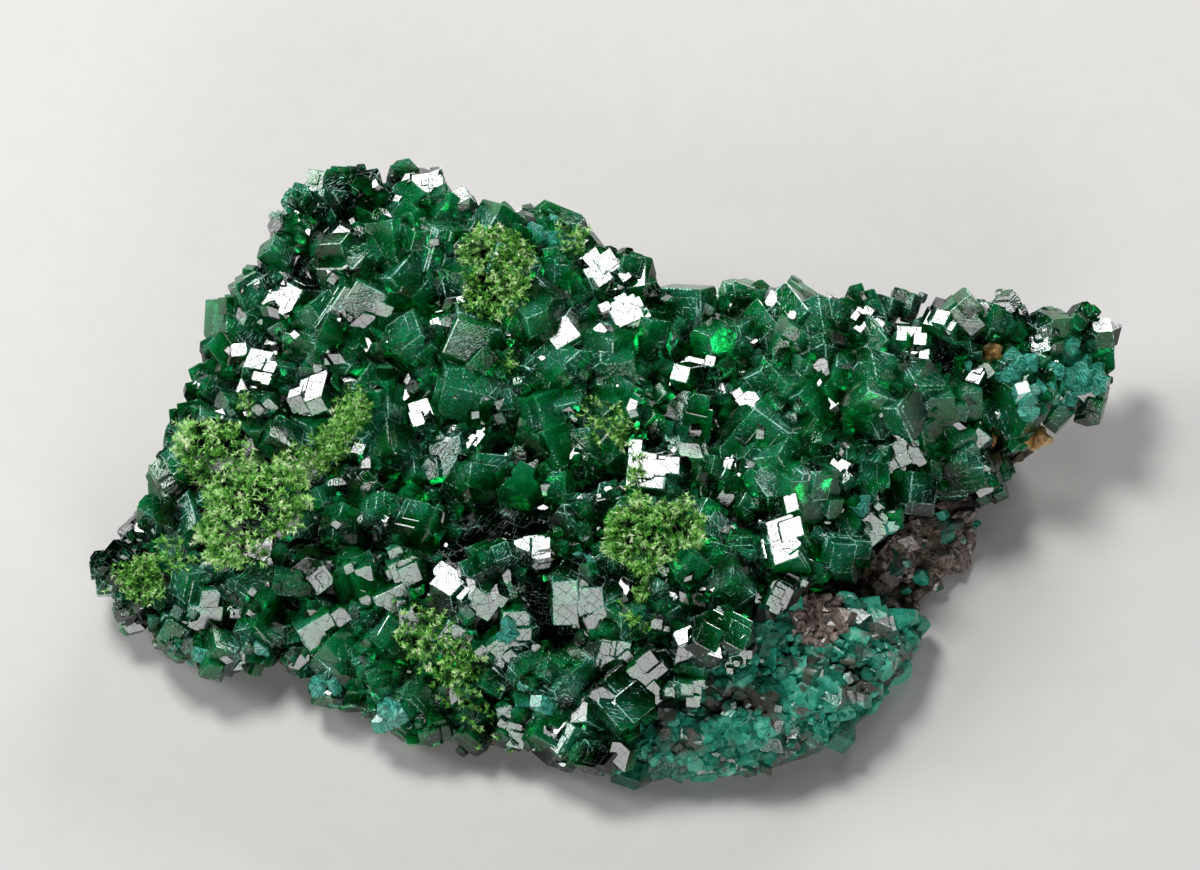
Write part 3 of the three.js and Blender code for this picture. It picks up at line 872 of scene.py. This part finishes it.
def roots(crystals):
    """Crystals that tie those that stand alone to their nearest neighbours."""
    between = []
    for crystal in crystals:
        others = [other for other in crystals if other is not crystal]
        nearest = min(others, key=lambda other: (other.middle - crystal.middle).length)
        middle = crystal.middle.lerp(nearest.middle, 0.5)
        if (middle - crystal.middle).length > ALONE * (crystal.width + nearest.width):
            between.append(Crystal(middle, crystal.turned, crystal.width, crystal.shape, crystal.tone))
    return between


def placed(name, data, collection=bpy.context.scene.collection):
    made = bpy.data.objects.new(name, data)
    collection.objects.link(made)
    return made


def modified(mesh, kind, settings):
    """A mesh as a modifier makes it."""
    base = placed(mesh.name, mesh)
    modifier = base.modifiers.new(kind, kind)
    for key, value in settings.items():
        setattr(modifier, key, value)
    graph = bpy.context.evaluated_depsgraph_get()
    made = bpy.data.meshes.new_from_object(base.evaluated_get(graph))
    bpy.data.objects.remove(base)
    bpy.data.meshes.remove(mesh)
    return made


def joined(first, others, operation):
    """One mesh: the first, with the others added to it or cut from it."""
    scratch = bpy.data.collections.new("scratch")
    bpy.context.scene.collection.children.link(scratch)
    for mesh in others:
        placed(mesh.name, mesh, scratch)
    settings = {"operation": operation, "solver": "MANIFOLD", "operand_type": "COLLECTION"}
    result = modified(first, "BOOLEAN", {**settings, "collection": scratch})
    bpy.data.batch_remove([*scratch.objects, *others, scratch])
    return result


def merged_copy(node):
    """A copy of a CAD node's mesh, closed, in millimetres."""
    bm = bmesh.new()
    bm.from_mesh(frame["nodes"][node].data)
    bmesh.ops.transform(bm, matrix=Matrix.Scale(1 / MM, 4), verts=bm.verts)
    bmesh.ops.remove_doubles(bm, verts=bm.verts, dist=0.002)
    return as_mesh(bm, node)


def mark(mesh, name, kind, values, domain="FACE"):
    mesh.attributes.new(name, kind, domain).data.foreach_set("value", values)


def mark_all(mesh, name, kind, value):
    mark(mesh, name, kind, [value] * len(mesh.polygons))


def read(items, key, kind, width=1):
    """One property of all of a mesh's items."""
    values = np.empty(len(items) * width, kind)
    items.foreach_get(key, values)
    return values.reshape(-1, width) if width > 1 else values


def map_faces(mesh, crystals):
    """Gives each crystal face its own flat map in millimetres, level along its first direction."""
    owner = read(mesh.attributes["crystal"].data, "value", np.int32)
    normals = read(mesh.polygons, "normal", np.float32, 3)
    sizes = read(mesh.polygons, "loop_total", np.int32)
    corners = read(mesh.loops, "vertex_index", np.int32)
    places = read(mesh.vertices, "co", np.float32, 3)
    turns = np.array([crystal.turned.to_matrix() for crystal in crystals])
    middles = np.array([crystal.middle for crystal in crystals])
    widths = np.array([crystal.width for crystal in crystals])
    axes = turns[owner][:, :, 2]
    level = np.cross(axes, normals)
    length = np.linalg.norm(level, axis=1, keepdims=True)
    level = np.where(length > 1e-3, level / np.maximum(length, 1e-6), turns[owner][:, :, 0])
    rise = np.cross(normals, level)
    face = np.repeat(np.arange(len(owner)), sizes)
    crystal = owner[face]
    local = places[corners] - middles[crystal]
    # How far along its crystal's axis each corner is, in widths: with it the finish paints each crystal
    # darker at the root and lighter at the tip, as painted shade and painted glow.
    along = (local * axes[face]).sum(1) / widths[crystal]
    # The crust gets the along value of a crystal's root, so the crust between crystals is painted dark, as
    # painted shade.
    along[crystal == CRUST_INDEX] = CRUST_SHADE_ALONG
    mark(mesh, "along", "FLOAT", along.astype(np.float32), "CORNER")
    flat = np.stack([(local * level[face]).sum(1), (local * rise[face]).sum(1)], 1)
    flat += np.stack([crystal * step % turn for step, turn in MAP_SHIFTS], 1)
    layer = mesh.uv_layers.new(name="face_map")
    layer.data.foreach_set("uv", flat.astype(np.float32).ravel())


def finished(mesh, name, material, node):
    """A piece from a mesh in millimetres."""
    mesh.transform(Matrix.Scale(MM, 4))
    mesh.materials.clear()
    mesh.materials.append(material)
    mesh.name = name
    piece = placed(name, mesh)
    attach(piece, "root")
    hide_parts(node)


def table_slab():
    bm = bmesh.new()
    width, depth = SLAB
    place = Matrix.Translation((0, 0, TABLE_GAP - depth / 2)) @ Matrix.Diagonal((width, width, depth, 1))
    bmesh.ops.create_cube(bm, size=1, matrix=place)
    return as_mesh(bm, "below table")


def seen_through(outline):
    """A prism over an outline in the picture, along the line of sight."""
    bm = bmesh.new()
    face = bm.faces.new([bm.verts.new(in_picture(across, up)) for across, up in outline])
    raised = bmesh.ops.extrude_face_region(bm, geom=[face])["geom"]
    ends = [part for part in raised if isinstance(part, bmesh.types.BMVert)]
    bmesh.ops.translate(bm, vec=TO_CAMERA * IN_FRONT * -2, verts=ends)
    bmesh.ops.recalc_face_normals(bm, faces=bm.faces)
    return as_mesh(bm, "line of sight")


def make_druse():
    dice = random.Random(11)
    facing, standing = first_crystals(dice)
    standing += rim_crystals(dice)
    bed = Crystal(Vector(), Quaternion(), 1, None, CRUST_TONE)
    crystals = [bed, *facing, *standing]
    crust = merged_copy("matrix")
    raised = Matrix.Translation((0, 0, CRUST - CRUST_SUNK))
    crust.transform(raised @ Matrix.Diagonal((*CRUST_SHARE, 1, 1)))
    crust = joined(crust, [seen_through(BARE_PATCH)], "DIFFERENCE")
    mark_all(crust, "crystal", "INT", CRUST_INDEX)
    mark_all(crust, "tone", "FLOAT", bed.tone)
    mark_all(crust, "edge", "FLOAT", 0.0)
    solids = [crystal.solid(index) for index, crystal in enumerate(crystals) if crystal is not bed]
    druse = joined(crust, solids, "UNION")
    late = growth_steps(facing, standing, dice) + late_crystals(druse, dice)
    late += glints(druse, dice) + turquoise_crystals(druse, dice) + roots(facing + standing)
    solids = [crystal.solid(index) for index, crystal in enumerate(late, len(crystals))]
    druse = joined(druse, solids, "UNION")
    rock = merged_copy("matrix")
    rock.transform(Matrix.Translation((0, 0, ROCK_GAP)))
    grown_in = [name for name in sorted(frame["nodes"]) if name.startswith(("moss_", "ochre_"))]
    hollows = [merged_copy(name) for name in grown_in if name not in (LEFT_MOUND, *SPARSE_TUFTS)]
    hollows.append(joined(merged_copy(LEFT_MOUND), [seen_through(MOUND)], "INTERSECT"))
    druse = joined(druse, [rock, table_slab(), *hollows], "DIFFERENCE")
    map_faces(druse, crystals + late)
    tree = mesh_tree(druse)
    finished(druse, "emerald_druse", dioptase_finish(), "crystal_druse")
    return tree


# Rock, seam, moss and grains

def covered(place, druse):
    """Whether crystals stand over a place of the rock and close round it."""
    around = [(0, 0), (COVER_REACH, 0), (-COVER_REACH, 0), (0, COVER_REACH), (0, -COVER_REACH)]
    return all(druse.ray_cast(place + Vector((x, y, 0)) - UPWARD, UPWARD)[0] for x, y in around)


def make_rock(druse):
    """The plate: broken in hollows and small flat faces all round, and flat below."""
    mesh = modified(merged_copy("matrix"), "REMESH", {"mode": "VOXEL", "voxel_size": ROCK_GRAIN})
    bm = bmesh.new()
    bm.from_mesh(mesh)
    bm.normal_update()
    shifts = []
    for vert in bm.verts:
        rough = 0.4 * noise.fractal(vert.co * 0.9, 0.9, 2.0, 3)
        hollow = 0
        for cells, reach, deepest in HOLLOWS:
            hollow += deepest * max(0, reach - noise.voronoi(vert.co * cells)[0][0])
        shifts.append(-vert.normal * max(0, hollow + rough) * min(1, max(0, vert.co.z - FLAT_BELOW)))
    for vert, shift in zip(bm.verts, shifts):
        vert.co += shift
    bm.to_mesh(mesh)
    bm.free()
    mesh = modified(mesh, "DECIMATE", {"ratio": ROCK_FACES})
    for vert in mesh.vertices:
        vert.co.z = max(vert.co.z, 0)
    bed = [float(vert.normal.z > LEVEL and covered(vert.co, druse)) for vert in mesh.vertices]
    mark(mesh, "bed", "FLOAT", bed, "POINT")
    finished(mesh, "rock_plate", rock_finish(), "matrix")


def seam_spots(core, count, dice):
    """Places on the seam's own lump, and on the crust that it has spread over."""
    yield from spots(core, count, dice)
    across, up = zip(*SEAM, *BARE_PATCH)
    for _ in range(count):
        place = dice.uniform(min(across), max(across)), dice.uniform(min(up), max(up))
        bare = inside(BARE_PATCH, *place)
        if inside(SEAM, *place) or (bare and dice.random() < BARE_CHIPS):
            lift = UPWARD * (0 if bare else CRUST)
            hit, normal, _, _ = ROCK.ray_cast(in_picture(*place) - lift, -TO_CAMERA)
            if hit:
                yield hit + lift, normal


def seam_chips(core, count, sizes, dice):
    """Blocks broken along the cleavage, set into a surface, each with its own tone."""
    chips = []
    for spot, normal in seam_spots(core, count, dice):
        if normal.z > CHIP_STEEPEST:
            size = dice.uniform(*sizes)
            turned = Quaternion(any_direction(dice), dice.uniform(0, math.pi))
            stretch = Vector((1, dice.uniform(0.5, 1), dice.uniform(0.35, 0.9))) * size
            mesh = dice.choice(SHAPES).sharp.copy()
            mesh.transform(Matrix.LocRotScale(spot - normal * size * CHIP_SUNK, turned, stretch))
            across, up, reach = BROWN_VEIN
            seen = spot.x, spot.dot(PICTURE_UP)
            brown = math.hypot(seen[0] - across, seen[1] - up) < reach
            brown = brown or (inside(BARE_PATCH, *seen) and dice.random() < BARE_BROWN)
            mark_all(mesh, "tone", "FLOAT", BROWN_TONE if brown else dice.random())
            chips.append(mesh)
    return chips


def make_seam():
    dice = random.Random(5)
    core = merged_copy("cleaved_seam")
    mark_all(core, "tone", "FLOAT", SEAM_TONE)
    chips = seam_chips(core, CHIPS, CHIP, dice) + seam_chips(core, SMALL_CHIPS, SMALL_CHIP, dice)
    whole = joined(core, chips, "UNION")
    whole = joined(whole, [table_slab()], "DIFFERENCE")
    finished(whole, "broken_seam", seam_finish(), "cleaved_seam")


def needle_shape():
    bm = bmesh.new()
    at_root = Matrix.Translation((0, 0, 0.5))
    bmesh.ops.create_cone(bm, cap_ends=True, segments=3, radius1=0.5, radius2=0.0, depth=1, matrix=at_root)
    bmesh.ops.remove_doubles(bm, verts=bm.verts, dist=1e-4)
    bmesh.ops.triangulate(bm, faces=bm.faces)
    bm.verts.index_update()
    verts = np.array([v.co for v in bm.verts])
    faces = np.array([[v.index for v in f.verts] for f in bm.faces])
    bm.free()
    return verts, faces


def unit(vectors):
    return vectors / np.maximum(np.linalg.norm(vectors, axis=-1, keepdims=True), 1e-9)


class Sprigs:
    """Feathery sprigs: each is a thin stem with short needles all round it."""

    def __init__(self, seed):
        self.rng = np.random.default_rng(seed)
        self.parts = []

    def needles(self, roots, ways, lengths, widths, tones):
        rows = roots.reshape(-1, 3), ways.reshape(-1, 3), lengths.ravel(), widths.ravel(), tones.ravel()
        self.parts.append(rows)

    def grow(self, rooted, spread, lengths):
        """Sprigs at the given places, leaning away from their directions, in the given tones."""
        spots, outward, tones = (np.array(part) for part in zip(*rooted))
        rng = self.rng
        count = len(spots)
        stem = unit(outward + rng.normal(size=(count, 3)) * spread)
        length = rng.uniform(*lengths, count)
        # Stems are painted darker than the needles, as painted shade.
        self.needles(spots, stem, length, np.full(count, STEM_WIDTH), tones - 0.15)
        share = rng.uniform(0.12, 1.0, (count, SPRIG_NEEDLES))
        around = unit(np.cross(stem[:, None], rng.normal(size=(count, SPRIG_NEEDLES, 3))))
        ways = unit(stem[:, None] * rng.uniform(0.3, 1.0, share.shape)[..., None] + around)
        roots = spots[:, None] + stem[:, None] * (share * length[:, None])[..., None]
        reach = rng.uniform(*NEEDLE_LENGTHS, share.shape) * (1.15 - 0.5 * share)
        # Needles are painted lighter towards the sprig's tip, as painted highlight, with some random tone.
        bright = tones[:, None] - 0.15 + 0.4 * share + rng.normal(0, 0.27, share.shape)
        self.needles(roots, ways, reach, rng.uniform(*NEEDLE_WIDTHS, share.shape), bright)

    def mesh(self, name):
        roots, ways, lengths, widths, tones = (np.concatenate(part) for part in zip(*self.parts))
        tones = np.clip(tones, 0, 1)
        count = len(roots)
        side = unit(np.cross(ways, self.rng.normal(size=(count, 3))))
        other = np.cross(ways, side)
        verts, faces = needle_shape()
        shape = (
            roots[:, None]
            + verts[None, :, 0:1] * (side * widths[:, None])[:, None]
            + verts[None, :, 1:2] * (other * widths[:, None])[:, None]
            + verts[None, :, 2:3] * (ways * lengths[:, None])[:, None]
        )
        index = faces[None] + (np.arange(count) * len(verts))[:, None, None]
        mesh = bpy.data.meshes.new(name)
        mesh.from_pydata(shape.reshape(-1, 3), [], index.reshape(-1, 3))
        mark(mesh, "tone", "FLOAT", np.repeat(tones, len(faces)))
        return mesh


def make_tuft(node, seed, druse, material):
    dice = random.Random(seed)
    sprigs = Sprigs(seed)
    lump = merged_copy(node)
    area = sum(face.area for face in lump.polygons)
    thin = THIN_SPOTS if area > LARGE_TUFT else -1
    rooted = []
    density = SPRIGS_PER_MM2 * (SPARSE_SHARE if node in SPARSE_TUFTS else 1)
    for spot, normal in spots(lump, int(area * density), dice):
        clump = noise.noise(spot * 0.75) + 0.5 * noise.noise(spot * 1.9)
        within = node != LEFT_MOUND or inside(MOUND, spot.x, spot.dot(PICTURE_UP))
        if clump > thin and normal.z > MOSS_STEEPEST and within:
            hit, face, _, depth = druse.ray_cast(spot + TO_CAMERA * NEARER, -TO_CAMERA)
            in_front = hit and depth < NEARER
            if in_front:
                spot, normal = hit, (face + TO_CAMERA).normalized()
            # In the creases between clumps the sprigs are sunk deeper and their tone is lower, so they are
            # painted darker, as painted shade; the rest of the tone is random.
            sunk = MOSS_SUNK if in_front else 0.55 - 1.2 * clump + dice.uniform(-0.2, 0.3)
            rooted.append((spot - normal * sunk, normal, 0.45 + 0.8 * clump + dice.gauss(0, 0.1)))
    sprigs.grow(rooted, *TUFT_SPRIGS)
    trailing = []
    for start, end, width, count in MOSS_TRAILS.get(node, []):
        for _ in range(count):
            share = dice.random()
            across = start[0] + (end[0] - start[0]) * share + dice.gauss(0, width / 2)
            up = start[1] + (end[1] - start[1]) * share + dice.gauss(0, width / 2)
            hit, normal, _, _ = druse.ray_cast(in_picture(across, up), -TO_CAMERA)
            if hit:
                way = normal * 0.6 + UPWARD * 0.3
                trailing.append((hit - normal * MOSS_SUNK, way, dice.gauss(0.5, 0.14)))
    if trailing:
        sprigs.grow(trailing, *TRAIL_SPRIGS)
    finished(sprigs.mesh(node), node.replace("moss", "needles"), material, node)


def make_grain(node, material):
    bm = bmesh.new()
    bm.from_mesh(merged_copy(node))
    worn = {"offset": GRAIN_EDGE, "affect": "EDGES", "segments": 1, "profile": 0.5, "material": -1}
    bmesh.ops.bevel(bm, geom=bm.edges[:], **worn)
    bmesh.ops.triangulate(bm, faces=bm.faces)
    bmesh.ops.subdivide_edges(bm, edges=bm.edges, cuts=3, use_grid_fill=True)
    every_way = {"use_axis_x": True, "use_axis_y": True, "use_axis_z": True}
    for _ in range(GRAIN_ROUNDS):
        bmesh.ops.smooth_vert(bm, verts=bm.verts, factor=0.5, **every_way)
    bm.normal_update()
    for vert in bm.verts:
        pits = 0.5 * noise.noise(vert.co * 1.3)
        fine_pits = 0.2 * noise.noise(vert.co * 3.7)
        vert.co += vert.normal * (GRAIN_SWELL + pits + fine_pits)
    name = node.replace("ochre_grain", "stained_grain")
    finished(as_mesh(bm, name), name, material, node)


# Stage

# The camera: how much it sees across, its lens and sensor, and the place in its middle.
FRAME_WIDTH = 120
LENS = 200
SENSOR = 36
PICTURE_CENTRE = (0, 6.5)
MID_DEPTH = 8

# Softboxes: name, direction, distance, size and power, in metres and watts.
SOFTBOXES = [
    ("key", seen_in(SKYWARD), LIGHT_DISTANCE * MM, (0.2, 0.2), 2.75),
    ("front", seen_in(FORWARD), LIGHT_DISTANCE * MM, (0.39, 0.26), 1.8),
    ("back", Vector((0.35, 0.9, 0.4)), 0.6, (0.4, 0.1), 2.05),
    ("left", Vector((-0.9, 0.1, 0.5)), 0.6, (0.16, 0.3), 1.65),
    ("overhead", Vector((0.25, 0.2, 1.0)), 1.0, (0.3, 0.3), 0.5),
]
WALL_COLOUR = colour(0.95, 0.95, 0.93)
WALL_BRIGHTNESS = 0.75
FLOOR_SIZE = 0.5


def make_camera():
    data = bpy.data.cameras.new("camera")
    data.lens = LENS
    data.sensor_width = SENSOR
    data.clip_start = 0.01
    data.clip_end = 10
    across, up = PICTURE_CENTRE
    target = Vector((across, 0, 0)) + PICTURE_UP * up + TO_CAMERA * MID_DEPTH
    distance = FRAME_WIDTH * LENS / SENSOR
    camera = placed("camera", data)
    camera.location = (target + TO_CAMERA * distance) * MM
    camera.rotation_euler = TO_CAMERA.to_track_quat("Z", "Y").to_euler()
    bpy.context.scene.camera = camera


def add_softbox(name, direction, distance, size, power):
    data = bpy.data.lights.new(name, "AREA")
    data.shape = "RECTANGLE"
    data.size, data.size_y = size
    data.energy = power
    light = placed(name, data)
    light.location = direction.normalized() * distance
    light.rotation_euler = direction.to_track_quat("Z", "Y").to_euler()


def make_stage():
    bm = bmesh.new()
    bmesh.ops.create_grid(bm, x_segments=1, y_segments=1, size=FLOOR_SIZE)
    floor = placed("floor", as_mesh(bm, "floor"))
    floor.data.materials.append(floor_finish())
    for softbox in SOFTBOXES:
        add_softbox(*softbox)
    scene = bpy.context.scene
    world = bpy.data.worlds.new("studio")
    world.use_nodes = True
    background = world.node_tree.nodes["Background"]
    background.inputs["Color"].default_value = WALL_COLOUR
    background.inputs["Strength"].default_value = WALL_BRIGHTNESS
    scene.world = world
    for rays in ("diffuse", "glossy", "transmission", "scatter"):
        setattr(world.cycles_visibility, rays, False)
    scene.view_settings.view_transform = "Standard"
    scene.cycles.max_bounces = 8
    scene.cycles.transmission_bounces = 6
    scene.cycles.use_light_tree = False


make_camera()
make_stage()
crystal_surface = make_druse()
make_rock(crystal_surface)
make_seam()
moss = moss_finish()
for number, tuft in enumerate(name for name in sorted(frame["nodes"]) if name.startswith("moss_")):
    make_tuft(tuft, 30 + number, crystal_surface, moss)
ochre = ochre_finish()
for grain in [name for name in sorted(frame["nodes"]) if name.startswith("ochre_")]:
    make_grain(grain, ochre)
